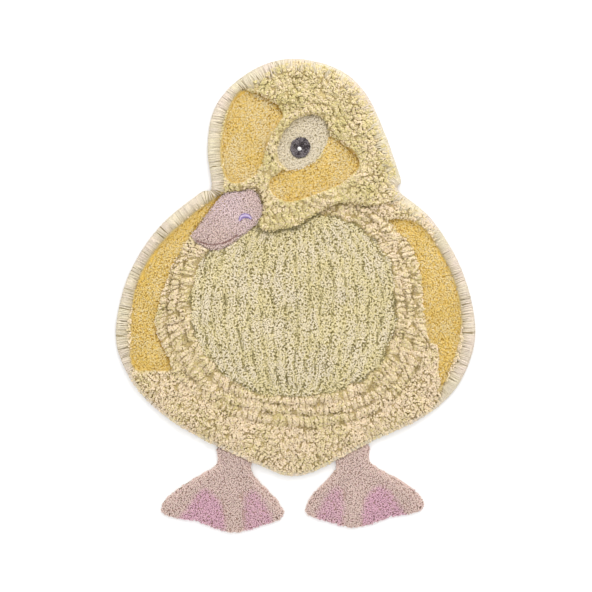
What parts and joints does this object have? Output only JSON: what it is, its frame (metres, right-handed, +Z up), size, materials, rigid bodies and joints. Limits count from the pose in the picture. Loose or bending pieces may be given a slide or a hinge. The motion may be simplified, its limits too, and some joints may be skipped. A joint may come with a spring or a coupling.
{
  "type": "animal shaped kids rug",
  "caption": "Duckling-shaped tufted cotton rug for a child's room, with long, ribbed and short pile and a sewn-on padded beak.",
  "frame": {"origin": "on the floor, under the middle of the rug's bounding box", "axes": "+Y from the feet towards the crown of the head, +X to the right seen from above, +Z up"},
  "size_m": [0.837, 1.0986, 0.0335],
  "materials": {
    "cream_pile": "long cut cotton pile, cream",
    "belly_pile": "dense cut cotton pile, pale greenish cream",
    "yellow_pile": "short cut cotton pile, warm yellow",
    "eye_pile": "short cut cotton pile, off-white",
    "foot_pile": "short cut cotton pile, dusty pink",
    "web_pile": "short cut cotton pile, lilac pink",
    "ground_cloth": "woven cotton canvas",
    "beak_plush": "fine looped plush, pink",
    "pupil_thread": "satin-stitched thread, charcoal",
    "glint_thread": "satin-stitched thread, white",
    "nostril_thread": "satin-stitched thread, lilac"
  },
  "bodies": {
    "root": {"rug": "cream_pile", "beak": "beak_plush", "pupil": "pupil_thread", "pupil_glint": "glint_thread", "nostril": "nostril_thread"}
  },
  "joints": []
}
